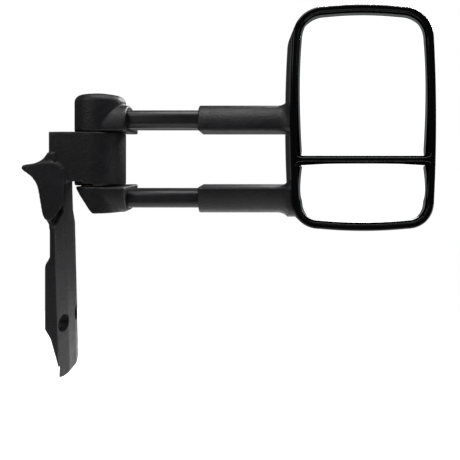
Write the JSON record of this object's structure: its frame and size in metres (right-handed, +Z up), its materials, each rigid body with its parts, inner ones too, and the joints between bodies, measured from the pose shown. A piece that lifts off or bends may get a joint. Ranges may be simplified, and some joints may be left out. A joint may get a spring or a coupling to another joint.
{
  "type": "towing mirror",
  "caption": "Extendable towing mirror for a vehicle's right side: faceted door bracket, folding twin arms, sliding head, tall main glass over a low wide-angle glass.",
  "frame": {"origin": "centre of the bracket's flat pad that bears on the vehicle's door", "axes": "+X outboard from the door, along the extended arms; +Y forward, away from the glass side; +Z up"},
  "size_m": [0.5198, 0.092, 0.4727],
  "materials": {
    "textured_plastic": "fine spark-eroded grain, black glass-filled nylon",
    "satin_plastic": "satin black acetal",
    "gloss_plastic": "smooth black ABS, polished mould",
    "tube_finish": "gloss black coating on extruded aluminium",
    "inner_plastic": "moulded grey nylon",
    "acetal": "natural acetal",
    "friction_composite": "pressed friction composite",
    "zinc_steel": "zinc plated",
    "spring_steel": "oil-tempered",
    "mirror_glass": "silvered glass"
  },
  "bodies": {
    "bracket": {"door_bracket": "textured_plastic", "upper_knuckle_bush": "acetal", "lower_knuckle_bush": "acetal", "upper_friction_washer": "friction_composite", "lower_friction_washer": "friction_composite"},
    "arms": {"upper_pivot_cap": "textured_plastic", "lower_pivot_cap": "textured_plastic", "pivot_shaft": "zinc_steel", "fold_spring": "spring_steel", "spring_washer": "zinc_steel", "pivot_lock_nut": "zinc_steel", "upper_shaft_set_screw": "zinc_steel", "upper_tube": "tube_finish", "upper_tube_glide": "acetal", "upper_tube_screw_1": "zinc_steel", "upper_tube_screw_2": "zinc_steel", "lower_shaft_set_screw": "zinc_steel", "lower_tube": "tube_finish", "lower_tube_glide": "acetal", "lower_tube_screw_1": "zinc_steel", "lower_tube_screw_2": "zinc_steel"},
    "head": {"rear_shell": "textured_plastic", "bezel": "gloss_plastic", "inner_frame": "inner_plastic", "inner_frame_screw_1": "zinc_steel", "inner_frame_screw_2": "zinc_steel", "inner_frame_screw_3": "zinc_steel", "inner_frame_screw_4": "zinc_steel", "upper_sleeve_bush": "satin_plastic", "lower_sleeve_bush": "satin_plastic", "upper_friction_pad": "friction_composite", "lower_friction_pad": "friction_composite", "main_adjuster_base": "inner_plastic", "main_base_screw_1": "zinc_steel", "main_base_screw_2": "zinc_steel", "spotter_adjuster_base": "inner_plastic", "spotter_base_screw_1": "zinc_steel", "spotter_base_screw_2": "zinc_steel"},
    "main_gimbal": {"main_gimbal_cross": "acetal"},
    "main_mirror": {"main_glass_carrier": "inner_plastic", "main_glass": "mirror_glass"},
    "spotter_gimbal": {"spotter_gimbal_cross": "acetal"},
    "spotter_mirror": {"spotter_glass_carrier": "inner_plastic", "spotter_glass": "mirror_glass"}
  },
  "joints": [
    {"name": "arm_fold", "type": "hinge", "parent": "bracket", "child": "arms", "pos_m": [0.06, 0, 0.17625], "axis": [0, 0, 1], "range_deg": [-80, 55]},
    {"name": "arm_extend", "type": "slide", "parent": "arms", "child": "head", "axis": [1, 0, 0], "range_m": [-0.092, 0]},
    {"name": "main_tilt", "type": "hinge", "parent": "head", "child": "main_gimbal", "pos_m": [0.4003, -0.0278, 0.2692], "axis": [1, 0, 0], "range_deg": [-5, 5]},
    {"name": "main_pan", "type": "hinge", "parent": "main_gimbal", "child": "main_mirror", "pos_m": [0.4003, -0.0278, 0.2692], "axis": [0, 0, 1], "range_deg": [-5, 5]},
    {"name": "spotter_tilt", "type": "hinge", "parent": "head", "child": "spotter_gimbal", "pos_m": [0.4003, -0.0278, 0.1337], "axis": [1, 0, 0], "range_deg": [-5, 5]},
    {"name": "spotter_pan", "type": "hinge", "parent": "spotter_gimbal", "child": "spotter_mirror", "pos_m": [0.4003, -0.0278, 0.1337], "axis": [0, 0, 1], "range_deg": [-5, 5]}
  ]
}
